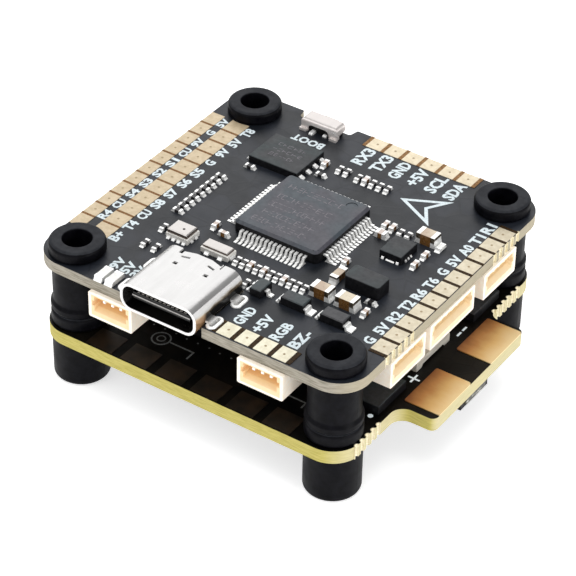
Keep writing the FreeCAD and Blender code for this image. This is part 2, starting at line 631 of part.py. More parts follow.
def current_shunt():
    """Metal strip resistor: a raised bridge between two soldered ends."""
    x, y, half_x, half_y = 15.5, -0.23, 1.58, 3.1
    points = [(y - half_y, ESC_TOP), (y - half_y, ESC_TOP + 0.95), (y - half_y + 0.15, ESC_TOP + 1.1),
              (y + half_y - 0.15, ESC_TOP + 1.1), (y + half_y, ESC_TOP + 0.95), (y + half_y, ESC_TOP),
              (y + half_y - 1.0, ESC_TOP), (y + half_y - 1.2, ESC_TOP + 0.3),
              (y - half_y + 1.2, ESC_TOP + 0.3), (y - half_y + 1.0, ESC_TOP)]
    return swept_x(points, x - half_x, x + half_x)


def suppressor():
    """Transient suppressor under the battery tab, with folded end plates."""
    x, y, z = 19.9, -0.45, ESC_BOTTOM
    body = block(x, y, 4.4, 5.1, z - 1.3, z - 0.1)
    body = body.makeChamfer(0.12, [e for e in body.Edges if abs(e.BoundBox.ZMax - (z - 1.3)) < 1e-6])
    ends = []
    for s in (-1, 1):
        x0, x1 = sorted((x + s * 2.2, x + s * 2.4))
        ends.append(block((x0 + x1) / 2, y, x1 - x0, 3.6, z - 0.85, z))
    return body, ends


# ---- build every node --------------------------------------------------------------------------

def build_esc():
    save("esc_board", [esc_board()])
    save("esc_edge_plating", edge_plating(ESC_RIGHT, ESC_EDGE_HOLES, ESC_BOTTOM, ESC_THICK))
    save("esc_battery_pads", battery_pads())
    save("esc_motor_pads", motor_pads())
    save("esc_mosfets", esc_mosfets())
    save("esc_controllers", esc_controllers())
    save("current_shunt", [current_shunt()])
    bodies, ends, _ = two_ended(ESC_CAPACITORS, ESC_CAP_SIZE, ESC_TOP)
    low_bodies, low_ends, low_solder = two_ended(UNDERSIDE_CAPACITORS, SMALL_CAP_SIZE, 0)
    hung = [[hang(s) for s in group] for group in (low_bodies, low_ends + low_solder)]
    body, plates = suppressor()
    save("esc_capacitor_bodies", bodies + hung[0])
    save("esc_part_ends", ends + hung[1] + plates)
    save("suppressor_body", [body])
    housing, contacts = socket(8, 0.0, -18.0, ESC_TOP, 270, True)
    save("esc_harness_socket", [housing])
    save("esc_harness_contacts", contacts)
    for name, (x, y) in zip(CORNER_NAMES, HOLES):
        save("esc_grommet_" + name, [esc_grommet(x, y)])


def build_fc_parts():
    body, leads, solder = mcu()
    save("mcu_body", [body])
    save("mcu_leads", leads)
    flash_body, tabs = flash()
    save("flash_body", [flash_body])
    gyro_body, gyro_tabs = gyro()
    save("gyro_body", [gyro_body])
    baro_base, baro_lid, baro_tabs = barometer()
    save("barometer_base", [baro_base])
    save("barometer_lid", [baro_lid])
    crystal_base, crystal_lid, crystal_tabs = crystal()
    save("crystal_base", [crystal_base])
    save("crystal_lid", [crystal_lid])
    save("power_inductor", [power_inductor()])
    regulator, diodes, wires = leaded_parts()
    save("regulator_body", [regulator])
    save("diode_bodies", diodes)
    save("gull_leads", wires)

    groups = {}
    for name, parts, size in (
            ("large_capacitor_bodies", LARGE_CAPACITORS, LARGE_CAP_SIZE),
            ("large_capacitor_bodies", MEDIUM_CAPACITORS, MEDIUM_CAP_SIZE),
            ("small_capacitor_bodies", SMALL_CAPACITORS, SMALL_CAP_SIZE),
            ("small_capacitor_bodies", BROAD_CAPACITORS, BROAD_CAP_SIZE),
            ("resistor_bodies", RESISTORS, RESISTOR_SIZE),
            ("status_lights", STATUS_LIGHTS, LIGHT_SIZE),
            ("status_lights", SIDE_LIGHTS, SIDE_LIGHT_SIZE)):
        bodies, ends, fillets = two_ended(parts, size, FC_TOP)
        groups.setdefault(name, []).extend(bodies)
        groups.setdefault("chip_ends", []).extend(ends)
        solder += fillets
    for name, solids in groups.items():
        save(name, solids)
    switch_base, switch_cover, plunger, switch_tabs = boot_switch()
    save("boot_switch_base", [switch_base])
    save("boot_switch_cover", [switch_cover])
    save("boot_switch_plunger", [plunger])
    save("package_terminals", tabs + gyro_tabs + baro_tabs + crystal_tabs + switch_tabs)
    return solder


def build_fc():
    save("fc_board", [fc_board()])
    save("fc_edge_plating", edge_plating(FC_HALF_X, FC_EDGE_HOLES, FC_BOTTOM, FC_THICK))
    save("left_pads", left_pads())
    save("right_pads", right_pads())
    save("back_pads", back_pads())
    save("front_pads", front_pads())
    solder = build_fc_parts()
    shell, tongue, midplate, contacts, leg_solder = usb()
    save("usb_shell", [shell])
    save("usb_tongue", [tongue])
    save("usb_midplate", [midplate])
    save("usb_contacts", contacts)
    save("solder_joints", solder + leg_solder)
    socket_pins = []
    for name, pins, place, face, angle in SOCKETS:
        housing, contacts = socket(pins, place, face, FC_BOTTOM, angle, False)
        save(name, [housing])
        socket_pins += contacts
    save("socket_contacts", socket_pins)
    for name, (x, y) in zip(CORNER_NAMES, HOLES):
        save("fc_grommet_" + name, [fc_grommet(x, y)])


os.makedirs("parts", exist_ok=True)
build_esc()
build_fc()
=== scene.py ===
import json
import math
import random

import bmesh
import bpy
from mathutils import Matrix, Vector


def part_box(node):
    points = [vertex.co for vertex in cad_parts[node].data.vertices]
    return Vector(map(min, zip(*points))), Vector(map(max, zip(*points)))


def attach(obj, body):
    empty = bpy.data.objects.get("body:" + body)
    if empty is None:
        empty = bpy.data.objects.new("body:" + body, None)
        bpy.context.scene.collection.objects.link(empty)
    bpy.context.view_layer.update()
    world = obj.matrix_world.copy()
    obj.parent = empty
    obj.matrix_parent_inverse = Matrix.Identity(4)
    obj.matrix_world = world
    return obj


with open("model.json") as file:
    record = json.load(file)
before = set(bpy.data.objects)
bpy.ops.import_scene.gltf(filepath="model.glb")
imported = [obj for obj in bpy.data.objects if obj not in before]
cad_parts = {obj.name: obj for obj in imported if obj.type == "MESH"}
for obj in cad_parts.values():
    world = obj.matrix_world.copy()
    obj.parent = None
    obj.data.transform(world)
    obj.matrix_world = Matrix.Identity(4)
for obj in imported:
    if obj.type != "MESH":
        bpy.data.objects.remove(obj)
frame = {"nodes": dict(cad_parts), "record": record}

# Looks for the flight controller stack. Metres, in the frame of the CAD model:
# +Z up, -Y towards the USB edge, +X towards the battery tab.

MM = 0.001
FC, ESC = "flight_controller", "speed_controller"
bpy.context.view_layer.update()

FC_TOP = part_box("fc_board")[1].z
ESC_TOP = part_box("esc_board")[1].z
PAD_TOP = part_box("right_pads")[1].z
TAB_START, TAB_END = 18.4 * MM, 22.3 * MM   # X of the battery tab's root and end
INK = 0.012 * MM            # thickness of printed ink
MASK_GAP = 0.004 * MM       # keeps ink and film clear of the face below
SIDE_SHINE = 0.12           # reflectance of the upright faces of moulded packages


# ---- camera, light and floor -------------------------------------------------

def aim(obj, target, roll=0.0):
    """Turns a camera or lamp to face a point."""
    back = obj.location - Vector(target)
    obj.rotation_mode = "QUATERNION"
    turn = (-back).to_track_quat("-Z", "Y")
    obj.rotation_quaternion = turn @ Matrix.Rotation(roll, 3, "Z").to_quaternion()


def make_camera():
    azimuth, elevation, roll = math.radians(33.618), math.radians(37.148), math.radians(1.12)
    distance = 241.6 * MM
    target = Vector((5.26, -8.55, 15.19)) * MM
    back = Vector((math.sin(azimuth) * math.cos(elevation),
                   -math.cos(azimuth) * math.cos(elevation), math.sin(elevation)))
    camera = bpy.data.objects.new("camera", bpy.data.cameras.new("camera"))
    camera.data.lens = 156.29
    camera.data.sensor_width = 36.0
    camera.data.clip_start = 10 * MM
    camera.data.clip_end = 10.0
    camera.location = target + back * distance
    bpy.context.scene.collection.objects.link(camera)
    aim(camera, target, roll)
    bpy.context.scene.camera = camera


def area_light(name, place, size, watts):
    """A white soft box aimed at the middle of the stack."""
    data = bpy.data.lights.new(name, "AREA")
    data.shape = "RECTANGLE"
    data.size, data.size_y = size
    data.energy = watts
    lamp = bpy.data.objects.new(name, data)
    lamp.location = place
    bpy.context.scene.collection.objects.link(lamp)
    aim(lamp, (0, 0, 10 * MM))


def make_studio():
    """White room with soft boxes behind, high in front and overhead, and two weaker fills."""
    scene = bpy.context.scene
    scene.view_settings.view_transform = "Standard"
    world = bpy.data.worlds.new("studio")
    scene.world = world
    world.use_nodes = True
    sky = world.node_tree.nodes["Background"]
    sky.inputs["Color"].default_value = (1.0, 1.0, 1.0, 1)
    sky.inputs["Strength"].default_value = 0.38
    area_light("back_box", (-0.29, 0.42, 0.39), (0.62, 0.62), 1.8)
    area_light("front_box", (-0.26, -0.37, 0.40), (0.40, 0.40), 0.75)
    area_light("overhead", (0.02, -0.04, 0.60), (0.40, 0.40), 1.25)
    area_light("front_fill", (0.16, -0.52, 0.16), (0.45, 0.25), 0.25)
    area_light("side_fill", (0.50, -0.02, 0.16), (0.30, 0.20), 1.0)


def make_floor():
    mesh = bpy.data.meshes.new("floor")
    half = 3.0
    mesh.from_pydata([(-half, -half, 0), (half, -half, 0), (half, half, 0), (-half, half, 0)],
                     [], [(0, 1, 2, 3)])
    floor = bpy.data.objects.new("floor", mesh)
    bpy.context.scene.collection.objects.link(floor)
    paint(floor, studio_floor())


# ---- material kit ---------------------------------------------------------------

class Nodes:
    """A Principled material with short calls for the texture nodes that feed it."""

    def __init__(self, name, colour, roughness, metallic=0.0):
        self.material = bpy.data.materials.new(name)
        self.material.use_nodes = True
        self.tree = self.material.node_tree
        self.shader = self.tree.nodes["Principled BSDF"]
        self.shader.inputs["Base Color"].default_value = (*colour, 1)
        self.shader.inputs["Roughness"].default_value = roughness
        self.shader.inputs["Metallic"].default_value = metallic
        self.coords = self.tree.nodes.new("ShaderNodeTexCoord")

    def new(self, kind, **values):
        node = self.tree.nodes.new(kind)
        for key, value in values.items():
            setattr(node, key, value)
        return node

    def link(self, source, target):
        self.tree.links.new(source, target)

    def noise(self, size, detail=3.0, stretch=(1, 1, 1)):
        """Noise whose blobs are about size metres across."""
        mapping = self.new("ShaderNodeMapping")
        mapping.inputs["Scale"].default_value = [s / size for s in stretch]
        self.link(self.coords.outputs["Object"], mapping.inputs["Vector"])
        node = self.new("ShaderNodeTexNoise")
        node.inputs["Scale"].default_value = 1.0
        node.inputs["Detail"].default_value = detail
        node.inputs["Roughness"].default_value = 0.55
        self.link(mapping.outputs["Vector"], node.inputs["Vector"])
        return node.outputs["Fac"]

    def seams(self, size):
        """Distance from the borders between cells that are about size metres across."""
        mapping = self.new("ShaderNodeMapping")
        mapping.inputs["Scale"].default_value = [1 / size] * 3
        self.link(self.coords.outputs["Object"], mapping.inputs["Vector"])
        node = self.new("ShaderNodeTexVoronoi", feature="DISTANCE_TO_EDGE")
        node.inputs["Scale"].default_value = 1.0
        self.link(mapping.outputs["Vector"], node.inputs["Vector"])
        return node.outputs["Distance"]

    def ramp(self, source, stops):
        """Colour ramp; stops are (position, colour)."""
        node = self.new("ShaderNodeValToRGB")
        elements = node.color_ramp.elements
        while len(elements) < len(stops):
            elements.new(0.5)
        for element, (place, colour) in zip(elements, stops):
            element.position = place
            element.color = (*colour, 1)
        self.link(source, node.inputs["Fac"])
        return node.outputs["Color"]

    def spread(self, source, low, high, start=0.3, end=0.7):
        """Maps the range from start to end onto the range from low to high, and clamps it."""
        node = self.new("ShaderNodeMapRange")
        node.inputs["From Min"].default_value = start
        node.inputs["From Max"].default_value = end
        node.inputs["To Min"].default_value = low
        node.inputs["To Max"].default_value = high
        self.link(source, node.inputs["Value"])
        return node.outputs["Result"]

    def math(self, operation, a, b=None):
        node = self.new("ShaderNodeMath", operation=operation)
        for socket, value in zip(node.inputs, (a, b)):
            if value is None:
                continue
            if isinstance(value, (int, float)):
                socket.default_value = value
            else:
                self.link(value, socket)
        return node.outputs["Value"]

    def mix(self, factor, a, b):
        """Colour a where factor is 0, colour b where it is 1."""
        node = self.new("ShaderNodeMix", data_type="RGBA")
        self.link(factor, node.inputs["Factor"])
        first, second, result = node.inputs[6], node.inputs[7], node.outputs[2]   # the colour sockets
        for socket, value in ((first, a), (second, b)):
            if isinstance(value, tuple):
                socket.default_value = (*value, 1)
            else:
                self.link(value, socket)
        return result

    def colour(self, source):
        self.link(source, self.shader.inputs["Base Color"])

    def rough(self, source):
        self.link(source, self.shader.inputs["Roughness"])

    def bump(self, source, height, strength=1.0):
        """Relief of height metres, stacked on any relief added before."""
        node = self.new("ShaderNodeBump")
        node.inputs["Strength"].default_value = strength
        node.inputs["Distance"].default_value = height
        self.link(source, node.inputs["Height"])
        normal = self.shader.inputs["Normal"]
        if normal.is_linked:
            self.link(normal.links[0].from_socket, node.inputs["Normal"])
        self.link(node.outputs["Normal"], normal)

    def split(self, kind):
        """The X, Y and Z of a texture coordinate, "Object" for the place or "Normal"."""
        node = self.new("ShaderNodeSeparateXYZ")
        self.link(self.coords.outputs[kind], node.inputs["Vector"])
        return node.outputs

    def facing_up(self):
        """1 on level faces, 0 on upright ones."""
        return self.math("GREATER_THAN", self.math("ABSOLUTE", self.split("Normal")["Z"]), 0.7)

    def facing_right(self):
        """1 on faces square to +X, fading to 0 on those that face front, back or left."""
        return self.spread(self.split("Normal")["X"], 0, 1, 0.3, 1.0)


def speckled(name, dark, light, roughness, metallic=0.0, grain=0.25 * MM, relief=0.004 * MM):
    """Base of most finishes: two close colours in fine blobs, uneven gloss, fine relief."""
    kit = Nodes(name, light, roughness, metallic)
    blobs = kit.noise(grain)
    kit.colour(kit.ramp(blobs, [(0.35, dark), (0.65, light)]))
    kit.rough(kit.spread(kit.noise(grain * 3), roughness - 0.06, roughness + 0.06))
    kit.bump(kit.noise(grain * 0.6, detail=2), relief)
    return kit


def studio_floor():
    """White light table: matte, with a faint glow of its own."""
    kit = speckled("studio_floor", (0.88, 0.88, 0.88), (0.91, 0.91, 0.91), 0.85, grain=20 * MM,
                   relief=0.02 * MM)
    kit.shader.inputs["Emission Color"].default_value = (1, 1, 1, 1)
    kit.shader.inputs["Emission Strength"].default_value = 0.6
    return kit.material


def laminate(name, mask_dark, mask_light, edge_dark, edge_light, edge_right, gloss, shine):
    """Solder mask over copper pours and tracks on the faces, fibre layers on the sawn edges.
    The edges that face +X, where most light falls, take the colour edge_right."""
    kit = Nodes(name, mask_light, gloss)
    pours = kit.ramp(kit.noise(5 * MM, detail=1), [(0.46, mask_dark), (0.54, mask_light)])
    tracks = kit.spread(kit.seams(2.6 * MM), 1, 0, 0.02, 0.06)
    mask = kit.mix(kit.math("MULTIPLY", tracks, 0.5), pours, mask_dark)
    layers = kit.noise(0.5 * MM, detail=3, stretch=(0.4, 0.4, 5))
    edge = kit.ramp(layers, [(0.35, edge_dark), (0.6, edge_light)])
    faded = kit.ramp(layers, [(0.35, tuple(0.88 * v for v in edge_right)), (0.6, edge_right)])
    edge = kit.mix(kit.facing_right(), edge, faded)
    up = kit.facing_up()
    kit.colour(kit.mix(up, edge, mask))
    satin = kit.spread(kit.noise(1.5 * MM), gloss - 0.05, gloss + 0.05)
    matte = kit.math("SUBTRACT", 1.0, up)
    kit.rough(kit.math("ADD", satin, kit.math("MULTIPLY", matte, 0.3)))
    kit.bump(tracks, 0.010 * MM, 0.4)
    kit.bump(kit.noise(0.3 * MM, detail=2), 0.003 * MM)
    kit.shader.inputs["Specular IOR Level"].default_value = shine
    return kit.material


def silicone():
    """Matte rubber: dusty on level faces, nearly black on the sides."""
    kit = Nodes("silicone", (0.006, 0.006, 0.008), 0.45)
    blobs = kit.noise(0.8 * MM)
    top = kit.ramp(blobs, [(0.35, (0.018, 0.019, 0.023)), (0.65, (0.029, 0.031, 0.036))])
    side = kit.ramp(blobs, [(0.35, (0.001, 0.001, 0.002)), (0.65, (0.004, 0.004, 0.006))])
    kit.colour(kit.mix(kit.facing_up(), side, top))
    kit.rough(kit.spread(kit.noise(2 * MM), 0.40, 0.56))
    kit.bump(kit.noise(0.4 * MM, detail=2), 0.006 * MM)
    kit.bump(kit.noise(2.5 * MM, detail=1), 0.03 * MM)
    kit.shader.inputs["Specular IOR Level"].default_value = 0.08
    return kit.material


def gold_pads(name, red, green, blue):
    """Immersion gold in the tone given, with slightly darker blotches."""
    return speckled(name, (0.86 * red, 0.84 * green, 0.80 * blue), (red, green, blue), 0.42, 0.2,
                    grain=0.5 * MM, relief=0.004 * MM).material


def edge_gold():
    """Plating in the sawn holes, paler where the saw has polished it."""
    return speckled("edge_gold", (0.72, 0.63, 0.40), (0.88, 0.82, 0.62), 0.38, 0.3,
                    grain=0.2 * MM, relief=0.006 * MM).material


def copper_pads():
    """Bare copper, dark and brown where the tab leaves the board, paler towards its end."""
    kit = Nodes("copper_pads", (0.75, 0.42, 0.2), 0.3, 0.4)
    kit.bump(kit.noise(0.9 * MM, detail=1, stretch=(0.3, 2, 1)), 0.002 * MM)
    stain = kit.noise(1.6 * MM, detail=3, stretch=(0.6, 1, 1))
    run = kit.spread(kit.split("Object")["X"], 0, 1, TAB_START, TAB_END)
    run = kit.math("ADD", run, kit.math("MULTIPLY", kit.math("SUBTRACT", stain, 0.5), 0.45))
    kit.colour(kit.ramp(run, [(0.0, (0.31, 0.11, 0.032)), (0.3, (0.58, 0.265, 0.078)),
                              (0.6, (0.74, 0.465, 0.175)), (1.0, (0.82, 0.625, 0.33))]))
    kit.rough(kit.spread(stain, 0.28, 0.40))
    return kit.material


def moulded_black(name, top_dark, top_light, shine=0.38):
    """Moulding compound: a satin top with a faint violet and green cast, darker smooth sides."""
    kit = Nodes(name, top_light, 0.5)
    blobs = kit.noise(0.35 * MM)
    violet = kit.ramp(blobs, [(0.35, top_dark), (0.65, top_light)])
    green = kit.ramp(blobs, [(place, (0.78 * tone[0], 1.04 * tone[1], 1.02 * tone[2]))
                             for place, tone in ((0.35, top_dark), (0.65, top_light))])
    top = kit.mix(kit.spread(kit.noise(4 * MM, detail=1), 0, 1, 0.42, 0.58), violet, green)
    side = kit.ramp(blobs, [(0.35, (0.005, 0.005, 0.006)), (0.65, (0.011, 0.011, 0.013))])
    up = kit.facing_up()
    kit.colour(kit.mix(up, side, top))
    kit.rough(kit.spread(kit.noise(0.9 * MM), 0.42, 0.54))
    kit.bump(kit.noise(0.16 * MM, detail=2), 0.004 * MM)
    sheen = kit.math("ADD", kit.math("MULTIPLY", up, shine - SIDE_SHINE), SIDE_SHINE)
    kit.link(sheen, kit.shader.inputs["Specular IOR Level"])
    return kit.material


def tin():
    """Bright tin plate and solder."""
    return speckled("tin", (0.92, 0.92, 0.90), (0.99, 0.99, 0.98), 0.30, 0.35,
                    grain=0.5 * MM, relief=0.002 * MM).material


def solder_bright(name):
    """Bright tin for parts that are dull in places. The bright tone is left in kit.tone."""
    kit = Nodes(name, (0.97, 0.97, 0.96), 0.3, 0.35)
    grain = kit.noise(0.5 * MM)
    kit.tone = kit.ramp(grain, [(0.35, (0.92, 0.92, 0.90)), (0.65, (0.99, 0.99, 0.98))])
    kit.rough(kit.spread(kit.noise(1.5 * MM), 0.24, 0.38))
    kit.bump(grain, 0.002 * MM)
    return kit


def chip_end_tin():
    """Bright tin. The upright faces of the tall capacitors' ends mirror the dark board."""
    kit = solder_bright("chip_end_tin")
    dull = kit.ramp(kit.noise(0.4 * MM), [(0.4, (0.035, 0.024, 0.014)), (0.65, (0.14, 0.115, 0.085))])
    upright = kit.math("SUBTRACT", 1.0, kit.facing_up())
    raised = kit.spread(kit.split("Object")["Z"], 0, 1, FC_TOP + 0.5 * MM, FC_TOP + 0.62 * MM)
    kit.colour(kit.mix(kit.math("MULTIPLY", upright, raised), kit.tone, dull))
    return kit.material


def esc_tin():
    """Bright tin, except the suppressor's straps at the battery tab, which are dull and dark."""
    kit = solder_bright("esc_tin")
    strap = kit.math("GREATER_THAN", kit.split("Object")["X"], TAB_START)
    dull = kit.ramp(kit.noise(0.35 * MM, stretch=(1, 0.5, 1)),
                    [(0.4, (0.018, 0.018, 0.014)), (0.56, (0.07, 0.07, 0.05)), (0.7, (0.45, 0.45, 0.40))])
    kit.colour(kit.mix(strap, kit.tone, dull))
    return kit.material


def steel(name, top, side, metallic=0.9, side_gloss=0.3):
    """Drawn sheet metal, with one tone and gloss on level faces and another on the rest.
    The mixed tone is left in kit.tone."""
    kit = Nodes(name, side, 0.3, metallic)
    drawn = kit.noise(0.8 * MM, detail=3, stretch=(2, 0.2, 1))
    level = kit.ramp(drawn, [(0.3, tuple(0.94 * v for v in top)), (0.7, top)])
    upright = kit.ramp(drawn, [(0.3, tuple(0.9 * v for v in side)), (0.7, side)])
    up = kit.facing_up()
    kit.tone = kit.mix(up, upright, level)
    kit.colour(kit.tone)
    shift = kit.math("MULTIPLY", up, 0.3 - side_gloss)
    gloss = kit.spread(kit.noise(1.5 * MM), side_gloss - 0.04, side_gloss + 0.04)
    kit.rough(kit.math("ADD", gloss, shift))
    kit.bump(drawn, 0.0008 * MM)
    return kit


# The mouth of the USB shell: a rounded oblong, given by the middle of its section, the straight
# half lengths and the corner radius. The rim is the front end of the sheet.
MOUTH_DROP = 1.58 * MM                              # middle of the mouth below the shell's top
MOUTH_STRAIGHT_X, MOUTH_STRAIGHT_Z = 3.17 * MM, 0.28 * MM
MOUTH_R = 1.1 * MM
RIM_DEPTH = 0.06 * MM
WALL_HALF = 4.52 * MM                               # half the shell's width without its legs
GOLDEN_END, MIRROR_START = 1.3 * MM, 1.8 * MM       # along the flank, from the rim


def usb_steel():
    """Bright outside, dull and dark in the mouth. The flank mirrors gold pads near the rim and
    the dark board behind them."""
    kit = steel("usb_steel", (0.54, 0.535, 0.53), (0.88, 0.87, 0.86), 0.95, 0.2)
    low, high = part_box("usb_shell")
    centre_x, centre_z = (low.x + high.x) / 2, high.z - MOUTH_DROP
    place = kit.split("Object")

    def beyond(axis, centre, straight):
        away = kit.math("ABSOLUTE", kit.math("SUBTRACT", place[axis], centre))
        return kit.math("MAXIMUM", kit.math("SUBTRACT", away, straight), 0.0)

    dx, dz = beyond("X", centre_x, MOUTH_STRAIGHT_X), beyond("Z", centre_z, MOUTH_STRAIGHT_Z)
    square = kit.math("ADD", kit.math("MULTIPLY", dx, dx), kit.math("MULTIPLY", dz, dz))
    inner = kit.math("LESS_THAN", square, MOUTH_R ** 2)
    behind = kit.math("GREATER_THAN", place["Y"], low.y + RIM_DEPTH)
    ripple = kit.math("SUBTRACT", kit.noise(1.2 * MM, stretch=(1, 0.5, 2.5)), 0.5)
    rise = kit.spread(place["Z"], 0, 1, FC_TOP, high.z - 0.4 * MM)
    height = kit.math("ADD", rise, kit.math("MULTIPLY", ripple, 0.5))
    mirrored = kit.ramp(height, [(0.50, (0.012, 0.011, 0.010)), (0.66, (0.16, 0.12, 0.08)),
                                 (0.74, (0.70, 0.64, 0.56)), (0.82, (0.95, 0.94, 0.93))])
    golden = kit.ramp(height, [(0.30, (0.35, 0.20, 0.10)), (0.60, (0.62, 0.42, 0.26)),
                               (0.70, (0.80, 0.70, 0.58)), (0.80, (0.95, 0.94, 0.93))])
    inwards = kit.spread(place["Y"], 0, 1, low.y + GOLDEN_END, low.y + MIRROR_START)
    flank = kit.mix(inwards, golden, mirrored)
    sideways = kit.math("ABSOLUTE", kit.math("SUBTRACT", place["X"], centre_x))
    wall = kit.math("MULTIPLY", behind, kit.math("LESS_THAN", sideways, WALL_HALF))
    up = kit.facing_up()
    wall = kit.math("MULTIPLY", wall, kit.math("SUBTRACT", 1.0, up))
    shell = kit.mix(wall, kit.tone, flank)
    kit.colour(kit.mix(kit.math("MULTIPLY", inner, behind), shell, (0.035, 0.034, 0.033)))
    metal = kit.math("ADD", kit.math("MULTIPLY", up, 0.55), 0.4)
    kit.link(metal, kit.shader.inputs["Metallic"])
    return kit.material


def socket_nylon(node):
    """Ivory nylon that turns amber in the depth of the mouth. The mouth is on the outer side."""
    kit = Nodes("socket_ivory_" + node, (0.93, 0.86, 0.76), 0.4)
    low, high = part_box(node)
    middle = (low + high) / 2
    across = 1 if abs(middle.x) > abs(middle.y) else 0
    depth = 1 - across
    outward = 1 if middle[depth] > 0 else -1
    face = high[depth] if outward > 0 else low[depth]
    place = kit.split("Object")

    def inside(axis, margin):
        away = kit.math("ABSOLUTE", kit.math("SUBTRACT", place[axis], middle[axis]))
        return kit.math("LESS_THAN", away, (high[axis] - low[axis]) / 2 - margin)

    sunk = kit.math("MULTIPLY", kit.math("SUBTRACT", face, place[depth]), float(outward))
    mouth = kit.math("MULTIPLY", inside(across, 0.35 * MM), inside(2, 0.3 * MM))
    blend = kit.math("MULTIPLY", mouth, kit.spread(sunk, 0.6, 1, 0.02 * MM, 1.2 * MM))
    grain = kit.ramp(kit.noise(0.6 * MM), [(0.35, (0.88, 0.80, 0.68)), (0.65, (0.94, 0.89, 0.80))])
    on_right = across == 1 and outward == 1
    amber = (0.80, 0.60, 0.28) if on_right else (0.76, 0.44, 0.055)
    kit.colour(kit.mix(blend, grain, amber))
    kit.rough(kit.spread(kit.noise(0.9 * MM), 0.34, 0.46))
    kit.bump(kit.noise(0.3 * MM), 0.003 * MM)
    kit.shader.inputs["Emission Color"].default_value = (1.0, 0.80, 0.60, 1)
    kit.shader.inputs["Emission Strength"].default_value = 0.15
    return kit.material


def contact_gold():
    """Thin gold over bronze."""
    return speckled("contact_gold", (0.80, 0.66, 0.42), (0.94, 0.84, 0.62), 0.3, 0.8,
                    grain=0.15 * MM, relief=0.002 * MM).material


def ceramic_tan(name, top_dark, top_light):
    """Fired ceramic: pale where the light falls on it, brown and glassy on the sides."""
    kit = Nodes(name, top_light, 0.3)
    grain = kit.noise(0.15 * MM)
    shift = kit.noise(3 * MM, detail=1)
    top = kit.ramp(shift, [(0.4, top_dark), (0.6, top_light)])
    side = kit.ramp(grain, [(0.35, (0.10, 0.045, 0.012)), (0.65, (0.22, 0.105, 0.03))])
    kit.colour(kit.mix(kit.facing_up(), side, top))
    kit.rough(kit.spread(kit.noise(0.4 * MM), 0.22, 0.36))
    kit.bump(grain, 0.003 * MM)
    return kit.material


def ceramic_base():
    """Pale ceramic of the barometer and crystal."""
    return speckled("ceramic_base", (0.78, 0.76, 0.71), (0.90, 0.88, 0.84), 0.4,
                    grain=0.2 * MM, relief=0.004 * MM).material


def resistor_dark():
    """Glazed film of the chip resistors."""
    return speckled("resistor_dark", (0.012, 0.011, 0.012), (0.03, 0.028, 0.03), 0.3,
                    grain=0.1 * MM, relief=0.003 * MM).material


def light_white():
    """White moulded body of the status lights."""
    return speckled("light_white", (0.86, 0.86, 0.82), (0.95, 0.95, 0.92), 0.3,
                    grain=0.3 * MM, relief=0.002 * MM).material


def switch_cream():
    """Cream nylon of the boot switch's plunger."""
    return speckled("switch_cream", (0.70, 0.66, 0.58), (0.82, 0.78, 0.70), 0.45,
                    grain=0.3 * MM, relief=0.003 * MM).material


def plug_black():
    """Black polymer inside the USB socket and under the boot switch."""
    kit = speckled("plug_black", (0.002, 0.002, 0.002), (0.005, 0.005, 0.005), 0.5,
                   grain=0.2 * MM, relief=0.003 * MM)
    kit.shader.inputs["Specular IOR Level"].default_value = 0.3
    return kit.material


def shunt_metal():
    """Resistance alloy strip, drawn lengthwise."""
    kit = Nodes("shunt_metal", (0.8, 0.77, 0.7), 0.42, 0.25)
    drawn = kit.noise(0.4 * MM, detail=4, stretch=(3, 0.25, 1))
    kit.colour(kit.ramp(drawn, [(0.3, (0.60, 0.57, 0.50)), (0.7, (0.90, 0.86, 0.76))]))
    kit.rough(kit.spread(kit.noise(0.8 * MM), 0.34, 0.5))
    kit.bump(drawn, 0.005 * MM)
    return kit.material


def ink_white(name="ink_white", glow=0.0):
    """White print, with a faint glow where it lies in deep shade."""
    kit = speckled(name, (0.62, 0.72, 0.76), (0.80, 0.88, 0.91), 0.6, grain=0.2 * MM, relief=0.004 * MM)
    kit.shader.inputs["Emission Color"].default_value = (0.9, 0.97, 1.0, 1)
    kit.shader.inputs["Emission Strength"].default_value = glow
    return kit.material


def ink_faint():
    """Worn print at the front of the lower board."""
    return speckled("ink_faint", (0.10, 0.11, 0.11), (0.22, 0.23, 0.23), 0.6,
                    grain=0.2 * MM, relief=0.004 * MM).material


def bare_gap(name, dark, light):
    """Bare laminate between the pads, stained by flux."""
    kit = speckled(name, dark, light, 0.5, grain=0.2 * MM, relief=0.006 * MM)
    kit.shader.inputs["Specular IOR Level"].default_value = 0.08
    return kit.material


def via_dark():
    """Filled via, darker than the pad round it."""
    return speckled("via_dark", (0.28, 0.20, 0.10), (0.42, 0.32, 0.18), 0.5,
                    grain=0.05 * MM, relief=0.002 * MM).material


def laser_mark():
    """Moulding compound where a laser has bleached it."""
    return speckled("laser_mark", (0.12, 0.11, 0.13), (0.21, 0.195, 0.215), 0.6,
                    grain=0.25 * MM, relief=0.002 * MM).material


def paint(obj, material):
    """Gives a piece one material."""
    obj.data.materials.clear()
    obj.data.materials.append(material)


